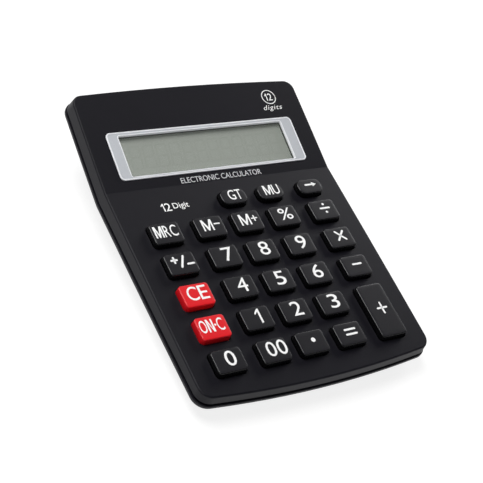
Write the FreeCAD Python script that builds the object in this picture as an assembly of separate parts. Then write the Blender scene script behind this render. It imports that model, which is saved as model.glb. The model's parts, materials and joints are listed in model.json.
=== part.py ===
"""A battery-powered desk calculator with a raised display, as separate pieces.

Millimetres. +X is right, +Y runs from the user's edge to the display edge, +Z is up.
The origin is under the middle of the case, on the surface that the feet stand on.
The case has two flat faces: the keypad face, and the display face bent up from it at the crease.
Each face has its own frame: x right, y up the slope from the crease, z out of the face.
A depth is a distance below a face, measured along its normal.
"""
import FreeCAD, Part
import math
import os

Vector = FreeCAD.Vector

# ------------------------------------------------------------------ case
face_width = 118.0
keypad_length = 104.2
display_length = 49.9
keypad_tilt = 5.0
display_tilt = 15.0
front_height = 12.5
front_bow, back_bow = 3.4, 1.3
front_side_bow, back_side_bow = 0.8, 0.3
front_corner, back_corner = 6.0, 5.0
wall = 2.0
top_edge_round = 0.8
front_skirt, crease_skirt = 4.2, 6.1
skirt_flare = 0.65
parting_gap = 1.0
strip_depth, strip_proud, strip_chamfer = 1.4, 0.4, 0.3
strip_edge_depth, strip_edge_inset = 0.6, 0.25
crease_straight, crease_overrun = 8.0, 15.0
under_taper = 42.0
floor_thickness = 2.0
least_corner = 1.2
lip_thickness = 1.2
lip_rise = 2.8
lip_clearance = 0.15

# A cutter runs past what it cuts, a feature starts inside what it joins, and faces this near coincide.
past, weld, tiny = 1.0, 0.5, 0.01

# ------------------------------------------------------------------ feet
foot_radius = 4.5
foot_thickness = 1.8
foot_recess = 0.6
foot_edge_round = 0.4
front_foot_x, front_foot_from_edge = 42.0, 14.0
back_foot_x, back_foot_y = 35.0, 4.0

# ------------------------------------------------------------------ keys
first_column_margin = 17.55
last_column_margin = 18.1
inner_columns = (0.26, 0.494, 0.733)
last_row_margin = 15.7
row_pitch = 15.8
small_row_pitch = 13.9
key_width, key_length, key_corner = 14.2, 11.0, 1.7
small_key_width, small_key_length, small_key_corner = 13.4, 8.3, 3.3
key_height = 2.7
key_draft = 0.2
key_edge_round = 0.45
key_shell, key_inner_corner = 1.2, 0.4
key_travel = 1.4
key_gap = 0.35
flange_width = 0.8
flange_thickness = 1.0
flange_clearance = 0.15
plunger_size = 3.0

# ------------------------------------------------------------------ key mat and circuit board
mat_thickness = 0.9
dome_height = 2.3
dome_base_radius = 4.2
dome_top_radius = 2.6
dome_skin = 0.6
dome_gap = 0.05
mat_margin = 1.2
board_thickness = 1.2
board_margin = 2.0
board_crease_gap = 1.45
board_hole_clearance = 0.6
chip_radius, chip_height, chip_edge_round = 7.0, 1.6, 1.2
capacitor_radius, capacitor_length, capacitor_gap, capacitor_edge_round = 1.6, 6.0, 0.05, 0.4
resistor_length, resistor_width, resistor_height, resistor_pitch = 2.0, 1.2, 0.6, 3.0

# ------------------------------------------------------------------ display
frame_width, frame_length, frame_corner = 98.3, 23.6, 2.2
frame_x, frame_y = -0.15, 16.9
frame_proud, frame_sunk, frame_edge_round = 0.3, 0.6, 0.25
view_width, view_length, view_corner = 85.7, 19.7, 0.5
view_x, view_y = -0.45, 16.6
window_border, window_thickness = 1.1, 0.8
ledge_border = 0.3
fit_gap = 0.08
glass_border, glass_thickness = 2.2, 0.9
glass_ledge = 2.6
film_thickness = 0.2
reflector_thickness = 0.3
holder_wall, holder_back, holder_gap = 1.2, 1.0, 0.15
holder_ear, ear_length, ear_thickness = 6.0, 8.0, 1.2
ribbon_width, ribbon_thickness = 66.0, 0.15
ribbon_bond_gap, ribbon_bend_gap = 0.15, 0.6
ribbon_edge_gap, ribbon_landing = 0.3, 2.25

# ------------------------------------------------------------------ battery
cell_length, cell_radius = 50.5, 7.25
cell_nub_radius, cell_nub_length = 2.7, 1.0
cell_edge_round = 0.6
cell_y = 26.5
cell_gap = 0.3
plate_space, spring_space = 1.0, 4.6
bay_front_gap, bay_back_gap, bay_wall = 2.0, 0.5, 1.4
contact_thickness, contact_width, contact_height = 0.4, 9.0, 9.5
tab_width, tab_length = 3.0, 3.4
spring_wire_radius, spring_turns = 0.4, 3.5
spring_base_radius, spring_tip_radius, spring_gap = 3.6, 2.0, 0.02
lead_radius, lead_gap, lead_bend_share = 0.6, 0.1, 0.45
lead_solder, lead_before_bay, lead_rise, lead_dip = 1.0, 4.0, 4.0, 1.0
lead_steps_in = (5.0, 7.0, 7.5)
lead_landing, lead_on_board = 2.95, 8.0
cover_gap = 0.25
cover_lip_height = 5.8
tongue_width, tongue_reach, tongue_thickness = 8.0, 2.8, 1.0
tongue_x = 17.0
grip_count, grip_pitch, grip_width, grip_depth = 5, 1.6, 0.7, 0.4
grip_length, grip_from_edge = 14.0, 3.0

# ------------------------------------------------------------------ screws
case_screw_radius, case_screw_length = 1.3, 7.0
case_head_radius, case_head_height = 2.4, 1.6
board_screw_radius, board_screw_length = 0.95, 4.4
board_head_radius, board_head_height = 1.8, 1.2
thread_clearance, head_clearance, shank_clearance = 0.03, 0.35, 0.25
case_boss_radius, middle_boss_radius, board_boss_radius = 2.8, 2.3, 2.1
post_wall, post_land, joint_gap, mat_post_gap = 1.3, 2.4, 0.1, 0.34
front_screw_x, front_screw_margin = 18.0, 5.3
back_screw_x, back_screw_y, back_screw_seat = 34.0, 36.0, 15.8
low_screw_seat = 2.9
driver_slot_width, driver_slot_depth = 0.6, 0.7
driver_slot_share, head_round_share = 0.6, 0.4
pilot_spare, short_pilot_spare = 0.5, 0.3

# ------------------------------------------------------------------ places worked out from the sizes
foot_stand = foot_thickness - foot_recess
crease_height = front_height + keypad_length * math.sin(math.radians(keypad_tilt))
half_bend = math.radians((display_tilt - keypad_tilt) / 2)
crease_lean = math.radians((display_tilt + keypad_tilt) / 2)
crease_point = Vector(0, 0, crease_height)
down_crease = Vector(0, math.sin(crease_lean), -math.cos(crease_lean))
rim_turn = math.degrees(math.atan((crease_skirt - front_skirt) / keypad_length))

# A bend is two planes that meet at a crease: (point, front tilt, back tilt, gain in the outlines' reach).
face_bend = (crease_point, keypad_tilt, display_tilt, 0)
rim_bend = (crease_point + down_crease * (crease_skirt / math.cos(half_bend)), keypad_tilt - rim_turn,
            display_tilt, crease_skirt * math.tan(half_bend))
taper = math.tan(math.radians(under_taper))
taper_wall = wall / math.cos(math.radians(under_taper))
floor_top = foot_stand + floor_thickness
flare_rate = skirt_flare / crease_skirt
far = 400.0

first_column = -face_width / 2 + first_column_margin
last_column = face_width / 2 - last_column_margin
column_x = [first_column]
column_x += [first_column + part * (last_column - first_column) for part in inner_columns]
column_x += [last_column]
last_row = -keypad_length + last_row_margin
row_y = [last_row + row_pitch * (4 - row) for row in range(5)]
small_row_y = row_y[0] + small_row_pitch

flange_top = wall + flange_clearance
flange_bottom = flange_top + flange_thickness
mat_top = flange_bottom + dome_gap + dome_height
board_top = mat_top + mat_thickness
board_bottom = board_top + board_thickness

# name: (x, y, width, length, corner radius), in the keypad's frame
keys = {}
for name, column in (("grand_total", 2), ("mark_up", 3), ("backspace", 4)):
    small_x = column_x[column] - (key_width - small_key_width) / 2
    keys[name] = (small_x, small_row_y, small_key_width, small_key_length, small_key_corner)
key_rows = (
    ("memory_recall", "memory_minus", "memory_plus", "percent", "divide"),
    ("sign", "7", "8", "9", "multiply"),
    ("clear_entry", "4", "5", "6", "minus"),
    ("on_clear", "1", "2", "3"),
    ("0", "double_zero", "point", "equals"),
)
for row, names in enumerate(key_rows):
    for column, name in enumerate(names):
        keys[name] = (column_x[column], row_y[row], key_width, key_length, key_corner)
keys["plus"] = (column_x[4], (row_y[3] + row_y[4]) / 2, key_width, row_pitch + key_length, key_corner)

left_gap_x = (column_x[0] + column_x[1]) / 2
right_gap_x = (column_x[3] + column_x[4]) / 2
row_gap_y = [(row_y[row] + row_y[row + 1]) / 2 for row in range(4)]
board_screws = [(x, y) for x in (left_gap_x, right_gap_x) for y in (row_gap_y[0], row_gap_y[3])]
middle_screws = [(x, row_gap_y[1]) for x in (left_gap_x, right_gap_x)]


def tilted(point, tilt):
    """A frame at a point, turned up about x by a tilt."""
    return FreeCAD.Placement(point, FreeCAD.Rotation(Vector(1, 0, 0), tilt))


keypad_frame = tilted(crease_point, keypad_tilt)
display_frame = tilted(crease_point, display_tilt)


def place(shape, frame):
    """The shape moved from a face's frame to the calculator's."""
    return shape.transformed(frame.toMatrix())


def in_calculator(x, y, frame, depth=0.0):
    """The place of a point that lies under a face."""
    return frame.multVec(Vector(x, y, -depth))


# ------------------------------------------------------------------ outlines and simple solids
def end_outline(reach, end, offset, z):
    """One plane's outline: bowed sides from past the crease, two round corners and a bowed end at -Y."""
    bow, side_bow, corner = end
    half = face_width / 2
    end_half = half - side_bow
    bow_radius = (end_half ** 2 + bow ** 2) / (2 * bow)
    side_radius = ((reach - crease_straight) ** 2 + side_bow ** 2) / (2 * side_bow)
    end_centre = Vector(0, bow_radius - reach, z)
    side_centre = Vector(half - side_radius, -crease_straight, z)
    round_radius = max(corner + offset, least_corner)

    # the corner's centre is as far inside both bowed lines as its own radius
    from_side = side_radius + offset - round_radius
    from_end = bow_radius + offset - round_radius
    between = (end_centre - side_centre).Length
    ahead = (end_centre - side_centre).normalize()
    along = (from_side ** 2 - from_end ** 2 + between ** 2) / (2 * between)
    across = math.sqrt(from_side ** 2 - along ** 2)
    centre = side_centre + ahead * along + Vector(ahead.y, -ahead.x, 0) * across

    def out_of(middle, point):
        return (point - middle).normalize()

    to_side, to_end = out_of(side_centre, centre), out_of(end_centre, centre)
    side, finish = centre + to_side * round_radius, centre + to_end * round_radius
    corner_middle = centre + (to_side + to_end).normalize() * round_radius
    start = Vector(half + offset, -crease_straight, z)
    halfway = (out_of(side_centre, start) + out_of(side_centre, side)).normalize()
    side_middle = side_centre + halfway * (side_radius + offset)
    top = Vector(half + offset, crease_overrun, z)

    def mirrored(point):
        return Vector(-point.x, point.y, point.z)

    edges = [
        Part.LineSegment(top, start).toShape(),
        Part.Arc(start, side_middle, side).toShape(),
        Part.Arc(side, corner_middle, finish).toShape(),
        Part.Arc(finish, Vector(0, -reach - offset, z), mirrored(finish)).toShape(),
        Part.Arc(mirrored(finish), mirrored(corner_middle), mirrored(side)).toShape(),
        Part.Arc(mirrored(side), mirrored(side_middle), mirrored(start)).toShape(),
        Part.LineSegment(mirrored(start), mirrored(top)).toShape(),
        Part.LineSegment(mirrored(top), top).toShape(),
    ]
    return Part.Wire(edges)


def half_space(bend, towards_front):
    """A block on one side of the plane that halves a bend at its crease."""
    point, front_tilt, back_tilt, _ = bend
    start = -far if towards_front else 0
    side = Part.makeBox(2 * far, far, 2 * far, Vector(-far, start, -far))
    return place(side, tilted(point, (front_tilt + back_tilt) / 2))


def bent_slab(bend, levels, edge_round=0.0):
    """A solid under a bend, through (depth, offset of the outline) levels, with its top edge rounded."""
    point, front_tilt, back_tilt, gain = bend
    front_end = (front_bow, front_side_bow, front_corner)
    back_end = (back_bow, back_side_bow, back_corner)
    front = [end_outline(keypad_length + gain, front_end, offset, -depth) for depth, offset in levels]
    back = [end_outline(display_length + gain, back_end, offset, -depth) for depth, offset in levels]
    turn = FreeCAD.Placement(Vector(), FreeCAD.Rotation(Vector(0, 0, 1), 180))
    halves = []
    for outlines in (front, back):
        half = Part.makeLoft(outlines, True, True)
        if edge_round:
            past_crease = max(vertex.Y for vertex in half.Vertexes)
            top = [e for e in half.Edges if all(abs(v.Z + levels[0][0]) < tiny for v in e.Vertexes)]
            top = [e for e in top if not all(abs(v.Y - past_crease) < tiny for v in e.Vertexes)]
            half = half.makeFillet(edge_round, top)
        halves.append(half)
    front_half = place(halves[0], tilted(point, front_tilt)).common(half_space(bend, True))
    back_half = place(place(halves[1], turn), tilted(point, back_tilt)).common(half_space(bend, False))
    return front_half.fuse(back_half).removeSplitter()


def flare(depth):
    """How far the outer wall stands out from the face's outline at a depth."""
    return flare_rate * depth


def rounded_outline(x, y, width, length, corner, z):
    """A rectangle with round corners, about (x, y)."""
    half_x, half_y = width / 2, length / 2
    corners = [(half_x, -half_y), (half_x, half_y), (-half_x, half_y), (-half_x, -half_y)]
    edges, last = [], None
    for px, py in corners:
        sx, sy = math.copysign(1, px), math.copysign(1, py)
        centre = Vector(x + px - sx * corner, y + py - sy * corner, z)
        slant = corner / math.sqrt(2)
        on_x, on_y = centre + Vector(sx * corner, 0, 0), centre + Vector(0, sy * corner, 0)
        middle = centre + Vector(sx * slant, sy * slant, 0)
        start, end = (on_y, on_x) if sx * sy < 0 else (on_x, on_y)
        if last is None:
            first = start
        else:
            edges.append(Part.LineSegment(last, start).toShape())
        edges.append(Part.Arc(start, middle, end).toShape())
        last = end
    edges.append(Part.LineSegment(last, first).toShape())
    return Part.Wire(edges)


def rounded_block(x, y, width, length, corner, bottom, top, draft=0.0):
    """A rounded rectangle between two levels, smaller at the top by the draft on each side."""
    low = rounded_outline(x, y, width, length, corner, bottom)
    high = rounded_outline(x, y, width - 2 * draft, length - 2 * draft, corner, top)
    return Part.makeLoft([low, high], True, True)


def block(x0, x1, y0, y1, z0, z1):
    """A box between corners."""
    return Part.makeBox(x1 - x0, y1 - y0, z1 - z0, Vector(x0, y0, z0))


def rod(x, y, radius, bottom, top):
    """A cylinder along z."""
    return Part.makeCylinder(radius, top - bottom, Vector(x, y, bottom))


def revolved(points, x, y):
    """A solid turned about the z axis at (x, y) from a closed outline of (radius, z) points."""
    outline = Part.makePolygon([Vector(r, 0, z) for r, z in points + [points[0]]])
    solid = Part.Face(outline).revolve(Vector(), Vector(0, 0, 1), 360)
    solid.translate(Vector(x, y, 0))
    return solid


def screw(x, y, seat, point, radius, head_radius, head_height):
    """A pan-head screw put in from below: its head under the seat, its point up."""
    body = rod(x, y, radius, seat - head_height / 2, point)
    head = rod(x, y, head_radius, seat - head_height, seat)
    rim = [e for e in head.Edges if abs(e.BoundBox.ZMax - (seat - head_height)) < tiny and e.Closed]
    head = head.makeFillet(head_height * head_round_share, rim)
    reach = head_radius * driver_slot_share
    half, low = driver_slot_width / 2, seat - head_height - past
    slot_end = low + past + driver_slot_depth
    slots = [block(x - reach, x + reach, y - half, y + half, low, slot_end),
             block(x - half, x + half, y - reach, y + reach, low, slot_end)]
    return head.fuse(body).cut(slots)


# ------------------------------------------------------------------ where the case screws go
def case_screws():
    """(x, y, seat height, upper boss radius) of each case screw, in the calculator's frame."""
    front = in_calculator(0, -keypad_length + front_screw_margin, keypad_frame)
    mat_front = in_calculator(0, mat_area(mat_margin)[2], keypad_frame, board_top)
    front_seat = mat_front.z - mat_post_gap - post_land
    places = [(side * front_screw_x, front.y, front_seat, case_boss_radius) for side in (-1, 1)]
    for x, y in middle_screws:
        on_face = in_calculator(x, y, keypad_frame, board_top)
        places.append((x, on_face.y, foot_stand + low_screw_seat, middle_boss_radius))
    back_seat = foot_stand + back_screw_seat
    places += [(side * back_screw_x, back_screw_y, back_seat, case_boss_radius) for side in (-1, 1)]
    return places


# ------------------------------------------------------------------ case shells
def make_upper_case():
    deep = crease_skirt + past
    below_rim = bent_slab(rim_bend, [(0, wall), (deep, wall)])
    body = bent_slab(face_bend, [(0, 0), (deep, flare(deep))], top_edge_round).cut(below_rim)
    hollow_bottom = deep + past
    hollow = [(depth, flare(depth) - wall) for depth in (wall, hollow_bottom)]
    body = body.cut(bent_slab(face_bend, hollow))
    inside = bent_slab(face_bend, [(wall / 2, -wall), (crease_height + display_length, -wall)])
    bosses, pilots = [], []
    for x, y, seat, radius in case_screws():
        bosses.append(rod(x, y, radius, seat + post_land + joint_gap, far))
        pilots.append(rod(x, y, case_screw_radius + thread_clearance, seat - past,
                          seat + case_screw_length + pilot_spare))
    for x, y in board_screws:
        boss = rod(x, y, board_boss_radius, -board_top, 0)
        hole_top = -board_bottom + board_screw_length + short_pilot_spare
        pilot = rod(x, y, board_screw_radius + thread_clearance, -board_top - past, hole_top)
        bosses.append(place(boss, keypad_frame))
        pilots.append(place(pilot, keypad_frame))
    for x in ear_screw_x():
        boss = rod(x, view_y, board_boss_radius, -ear_top(), 0)
        hole_top = -ear_top() - ear_thickness + board_screw_length + short_pilot_spare
        pilot = rod(x, view_y, board_screw_radius + thread_clearance, -ear_top() - past, hole_top)
        bosses.append(place(boss, display_frame))
        pilots.append(place(pilot, display_frame))
    body = body.fuse([boss.common(inside) for boss in bosses]).cut(pilots)
    cuts = []
    for x, y, width, length, corner in keys.values():
        hole = rounded_block(x, y, width + 2 * key_gap, length + 2 * key_gap, corner + key_gap,
                             -wall - past, past)
        cuts.append(place(hole, keypad_frame))
    return body.cut(cuts + [place(display_recess(), display_frame)]).removeSplitter()


def make_lower_shell():
    """The lower case's skin and locating lip, before its inner features."""
    strip_bottom = parting_gap + strip_depth
    strip_offset = skirt_flare + strip_proud
    edge_bottom, edge_offset = strip_bottom + strip_edge_depth, strip_offset - strip_edge_inset
    deep = crease_height + display_length / 2
    levels = [(parting_gap, strip_offset - strip_chamfer), (parting_gap + strip_chamfer, strip_offset),
              (strip_bottom, strip_offset), (edge_bottom, edge_offset),
              (deep, edge_offset - (deep - edge_bottom) * taper)]
    above_base = block(-far, far, -far, far, foot_stand, far)
    outer = bent_slab(rim_bend, levels).common(above_base)

    inner_bend = edge_bottom + wall / 2
    inner_offset = skirt_flare - wall
    levels = [(parting_gap - past, inner_offset), (inner_bend, inner_offset),
              (deep, edge_offset - taper_wall - (deep - edge_bottom) * taper)]
    above_floor = block(-far, far, -far, far, floor_top, far)
    inner = bent_slab(rim_bend, levels).common(above_floor)

    lip_top = parting_gap - lip_rise
    lip_bottom = parting_gap + past

    def lip_level(depth, inwards):
        """A level of the lip, inside the skirt where the skirt flares least."""
        return depth, flare(front_skirt + depth) - wall - lip_clearance - inwards

    root_offset = inner_offset + weld
    root = bent_slab(rim_bend, [(parting_gap, root_offset), (lip_bottom, root_offset)])
    lip = bent_slab(rim_bend, [lip_level(lip_top, 0), lip_level(lip_bottom, 0)]).fuse(root)
    core = [lip_level(lip_top - past, lip_thickness), lip_level(lip_bottom + past, lip_thickness)]
    return outer, outer.cut(inner), lip.cut(bent_slab(rim_bend, core))


def bay_box():
    """The inside of the battery bay as (x0, x1, y0, y1, top), in the calculator's frame."""
    half = (cell_length + plate_space + spring_space) / 2
    y0 = cell_y - cell_radius - bay_front_gap
    y1 = cell_y + cell_radius + bay_back_gap
    return -half, half, y0, y1, cell_centre().z + cell_radius + cell_gap


def cell_centre():
    return Vector((spring_space - plate_space) / 2, cell_y, floor_top + cell_gap + cell_radius)


def cover_cut(gap):
    """The space of the battery cover, smaller all round by the gap."""
    x0, x1, y0, _, _ = bay_box()
    top = foot_stand + cover_lip_height
    return block(x0 + gap, x1 - gap, y0 + gap, far, -past, top - gap)


def make_lower_case():
    outer, shell, lip = make_lower_shell()
    x0, x1, y0, y1, top = bay_box()
    bay = block(x0 - bay_wall, x1 + bay_wall, y0 - bay_wall, y1 + bay_wall, foot_stand, top + bay_wall)
    added = [bay.common(outer)]
    cuts = [block(x0, x1, y0, y1, -past, top), cover_cut(0)]
    notches = []
    for x, y, seat, boss_radius in case_screws():
        post_radius = case_head_radius + head_clearance + post_wall
        added.append(rod(x, y, post_radius, foot_stand, seat + post_land).common(outer))
        cuts.append(rod(x, y, case_head_radius + head_clearance, -past, seat))
        cuts.append(rod(x, y, case_screw_radius + shank_clearance, seat - past, far))
        notches.append(rod(x, y, boss_radius + shank_clearance, seat + post_land, far))
    for x in (-tongue_x, tongue_x):
        slot = tongue_block(x, cover_gap)
        cuts.append(slot)
    for x, tab_end in ((x0 - bay_wall - past, x0 + past), (x1 - past, x1 + bay_wall + past)):
        half = tab_width / 2 + cover_gap
        z = cell_centre().z
        cuts.append(block(x, tab_end, cell_y - half, cell_y + half, z - half / 2, z + half / 2))
    for x, y in foot_places():
        cuts.append(rod(x, y, foot_radius + fit_gap, -past, foot_stand + foot_recess))
    body = shell.fuse(added + [lip.cut(notches)]).cut(cuts)
    return body.removeSplitter()


def foot_places():
    front_y = in_calculator(0, -keypad_length, keypad_frame).y + front_foot_from_edge
    return [(side * front_foot_x, front_y) for side in (-1, 1)] + [
        (side * back_foot_x, back_foot_y) for side in (-1, 1)]


def make_feet():
    feet = []
    for x, y in foot_places():
        foot = rod(x, y, foot_radius, 0, foot_thickness)
        rim = [e for e in foot.Edges if e.Closed and e.BoundBox.ZMax < tiny]
        feet.append(foot.makeFillet(foot_edge_round, rim))
    return Part.makeCompound(feet)


# ------------------------------------------------------------------ battery and its cover
def tongue_block(x, gap):
    """A front tongue of the battery cover, grown all round by the gap."""
    _, _, y0, _, _ = bay_box()
    z = floor_top + cover_gap
    front = y0 - tongue_reach
    return block(x - tongue_width / 2 - gap, x + tongue_width / 2 + gap,
                 front - gap, y0 + cover_gap + tongue_thickness, z - gap, z + tongue_thickness + gap)


def make_battery_cover():
    _, shell, _ = make_lower_shell()
    cover = shell.common(cover_cut(cover_gap))
    _, _, y0, _, _ = bay_box()
    root_y = y0 + cover_gap
    for x in (-tongue_x, tongue_x):
        neck = block(x - tongue_width / 2, x + tongue_width / 2, root_y, root_y + tongue_thickness,
                     floor_top - weld, floor_top + cover_gap + tongue_thickness)
        cover = cover.fuse([tongue_block(x, 0), neck])
    grips = []
    for number in range(grip_count):
        y = root_y + grip_from_edge + number * grip_pitch
        grips.append(block(-grip_length / 2, grip_length / 2, y, y + grip_width,
                           -past, foot_stand + grip_depth))
    return cover.cut(grips).removeSplitter()


def make_cell():
    centre = cell_centre()
    along_x = FreeCAD.Rotation(Vector(0, 1, 0), 90)
    can = Part.makeCylinder(cell_radius, cell_length - cell_nub_length)
    can = can.makeFillet(cell_edge_round, [e for e in can.Edges if e.Closed])
    nub_start = Vector(0, 0, cell_length - cell_nub_length - past)
    nub = Part.makeCylinder(cell_nub_radius, cell_nub_length + past, nub_start)
    cell = can.fuse(nub)
    start = centre - Vector(cell_length / 2, 0, 0)
    return place(cell, FreeCAD.Placement(start, along_x))


def contact_plate(x0, x1, outwards):
    """A contact's plate between two x places, with its solder tab through the bay's end wall."""
    centre = cell_centre()
    half_y, half_z = contact_width / 2, contact_height / 2
    plate = block(x0, x1, cell_y - half_y, cell_y + half_y, centre.z - half_z, centre.z + half_z)
    tab_x = x1 if outwards > 0 else x0 - tab_length
    half_tab, thin = tab_width / 2, contact_thickness / 2
    tab = block(tab_x, tab_x + tab_length, cell_y - half_tab, cell_y + half_tab,
                centre.z - thin, centre.z + thin)
    return plate.fuse(tab)


def make_positive_contact():
    _, x1, _, _, _ = bay_box()
    return contact_plate(x1 - fit_gap - contact_thickness, x1 - fit_gap, 1).removeSplitter()


def make_negative_contact():
    """A plate with a conical coil spring that reaches to the cell's flat end."""
    x0 = bay_box()[0]
    plate_face = x0 + fit_gap + contact_thickness
    plate = contact_plate(x0 + fit_gap, plate_face, -1)
    centre = cell_centre()
    reach = centre.x - cell_length / 2 - plate_face - spring_wire_radius - spring_gap
    cone = math.degrees(math.atan((spring_base_radius - spring_tip_radius) / reach))
    helix = Part.makeHelix(reach / spring_turns, reach, spring_base_radius, -cone)
    wire_start = Vector(spring_base_radius, 0, 0)
    circle = Part.Wire(Part.makeCircle(spring_wire_radius, wire_start, Vector(0, 1, 0)))
    coil = Part.Wire(helix.Edges).makePipeShell([circle], True, True)
    along_x = FreeCAD.Rotation(Vector(0, 1, 0), 90)
    coil = place(coil, FreeCAD.Placement(Vector(plate_face, centre.y, centre.z), along_x))
    return plate.fuse(coil)


def lead(points):
    """A lead of straight runs joined by tangent arcs."""
    edges, start = [], points[0]
    for before, corner, after in zip(points, points[1:], points[2:]):
        back, ahead = (before - corner).normalize(), (after - corner).normalize()
        trim = lead_bend_share * min((before - corner).Length, (after - corner).Length)
        half_turn = (math.pi - back.getAngle(ahead)) / 2
        radius = trim / math.tan(half_turn)
        inwards = (back + ahead).normalize()
        centre = corner + inwards * math.hypot(trim, radius)
        a, b = corner + back * trim, corner + ahead * trim
        edges.append(Part.LineSegment(start, a).toShape())
        edges.append(Part.Arc(a, centre - inwards * radius, b).toShape())
        start = b
    edges.append(Part.LineSegment(start, points[-1]).toShape())
    direction = (points[1] - points[0]).normalize()
    circle = Part.Wire(Part.makeCircle(lead_radius, points[0], direction))
    return Part.Wire(edges).makePipeShell([circle], True, True)


def make_lead(side):
    """From a contact's solder tab, forward beside the bay, and up to the board's back edge."""
    x0, x1, y0, _, _ = bay_box()
    tab_end = (x1 if side > 0 else -x0) - fit_gap + tab_length - lead_solder
    z = cell_centre().z + contact_thickness / 2 + lead_radius
    landing = -board_crease_gap - lead_landing
    depth = board_bottom + lead_radius + lead_gap
    board = in_calculator(0, landing, keypad_frame, depth)
    ahead = in_calculator(0, landing - lead_on_board, keypad_frame, depth)
    rise_x, board_x, end_x = [side * (tab_end - step) for step in lead_steps_in]
    points = [Vector(side * tab_end, cell_y, z), Vector(side * tab_end, y0 - lead_before_bay, z),
              Vector(rise_x, board.y + lead_rise, board.z - lead_dip), Vector(board_x, board.y, board.z),
              Vector(end_x, ahead.y, ahead.z)]
    return lead(points)


# ------------------------------------------------------------------ display
window_bottom = frame_sunk + window_thickness + fit_gap
film_top = wall + fit_gap
glass_top = film_top + film_thickness
glass_bottom = glass_top + 2 * glass_thickness
reflector_bottom = glass_bottom + reflector_thickness


def ear_top():
    return reflector_bottom + holder_back - ear_thickness


def glass_size():
    return view_width + 2 * glass_border, view_length + 2 * glass_border


def ear_screw_x():
    half = glass_size()[0] / 2 + holder_gap + holder_wall + holder_ear / 2
    return view_x - half, view_x + half


def display_recess():
    """What is cut from the upper case for the frame, the window and the view."""
    frame = rounded_block(frame_x, frame_y, frame_width + 2 * fit_gap, frame_length + 2 * fit_gap,
                          frame_corner + fit_gap, -frame_sunk, past)
    window_room = 2 * window_border + 2 * fit_gap
    window_size = (view_width + window_room, view_length + window_room)
    window = rounded_block(view_x, view_y, *window_size, view_corner + fit_gap, -window_bottom, past)
    view = rounded_block(view_x, view_y, view_width + 2 * ledge_border, view_length + 2 * ledge_border,
                         view_corner, -wall - past, past)
    return frame.fuse([window, view])


def make_display_frame():
    frame = rounded_block(frame_x, frame_y, frame_width, frame_length, frame_corner,
                          -frame_sunk, frame_proud)
    rim = [e for e in frame.Edges if e.BoundBox.ZMin > frame_proud - tiny]
    frame = frame.makeFillet(frame_edge_round, rim)
    view = rounded_block(view_x, view_y, view_width, view_length, view_corner, -frame_sunk - past, past)
    return place(frame.cut(view), display_frame)


def make_display_window():
    window = rounded_block(view_x, view_y, view_width + 2 * window_border, view_length + 2 * window_border,
                           view_corner, -frame_sunk - window_thickness, -frame_sunk)
    return place(window, display_frame)


def make_lcd_glass():
    """Two bonded glass plates; the rear one is longer at the bottom, where its contacts are."""
    width, length = glass_size()
    x0, x1 = view_x - width / 2, view_x + width / 2
    y0, y1 = view_y - length / 2, view_y + length / 2
    front = block(x0, x1, y0, y1, -glass_top - glass_thickness, -glass_top)
    rear = block(x0, x1, y0 - glass_ledge, y1, -glass_bottom, -glass_top - glass_thickness)
    return place(front.fuse(rear), display_frame)


def thin_sheet(top, thickness, border):
    sheet = rounded_block(view_x, view_y, view_width + 2 * border, view_length + 2 * border, view_corner,
                          -top - thickness, -top)
    return place(sheet, display_frame)


def make_lcd_holder():
    """A tray behind the glass, open at the bottom edge for the ribbon, with a screw ear at each end."""
    width, length = glass_size()
    x0, x1 = view_x - width / 2 - holder_gap, view_x + width / 2 + holder_gap
    y0, y1 = view_y - length / 2 - glass_ledge, view_y + length / 2 + holder_gap
    back = reflector_bottom + holder_back
    tray = block(x0 - holder_wall, x1 + holder_wall, y0, y1 + holder_wall, -back, -glass_top)
    half_ear = holder_ear / 2 + weld
    ears = [block(x - half_ear, x + half_ear, view_y - ear_length / 2, view_y + ear_length / 2,
                  -ear_top() - ear_thickness, -ear_top()) for x in ear_screw_x()]
    holes = [rod(x, view_y, board_screw_radius + shank_clearance, -far, 0) for x in ear_screw_x()]
    pocket = block(x0, x1, y0 - past, y1, -reflector_bottom, 0)
    return place(tray.fuse(ears).cut(pocket).cut(holes), display_frame)


def make_lcd_ribbon():
    """A flat printed film from the glass's contact ledge down to the board's back edge."""
    ledge = glass_top + glass_thickness - ribbon_thickness / 2
    on_board = board_top - ribbon_thickness / 2
    rear_y = view_y - glass_size()[1] / 2 - ribbon_bond_gap
    landing = -board_crease_gap - ribbon_edge_gap
    line = [display_frame.multVec(Vector(0, rear_y, -ledge)),
            display_frame.multVec(Vector(0, rear_y - glass_ledge - ribbon_bend_gap, -ledge)),
            keypad_frame.multVec(Vector(0, landing, -on_board)),
            keypad_frame.multVec(Vector(0, landing - ribbon_landing, -on_board))]
    across = [(b - a).normalize().cross(Vector(1, 0, 0)) for a, b in zip(line, line[1:])]
    offsets = [across[0]]
    for one, other in zip(across, across[1:]):
        mean = (one + other).normalize()
        offsets.append(mean * (1 / mean.dot(one)))
    offsets.append(across[-1])
    half = ribbon_thickness / 2
    upper = [p + o * half for p, o in zip(line, offsets)]
    lower = [p - o * half for p, o in zip(line, offsets)]
    outline = Part.makePolygon(upper + lower[::-1] + [upper[0]])
    ribbon = Part.Face(outline).extrude(Vector(ribbon_width, 0, 0))
    ribbon.translate(Vector(view_x - ribbon_width / 2, 0, 0))
    return ribbon


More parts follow.
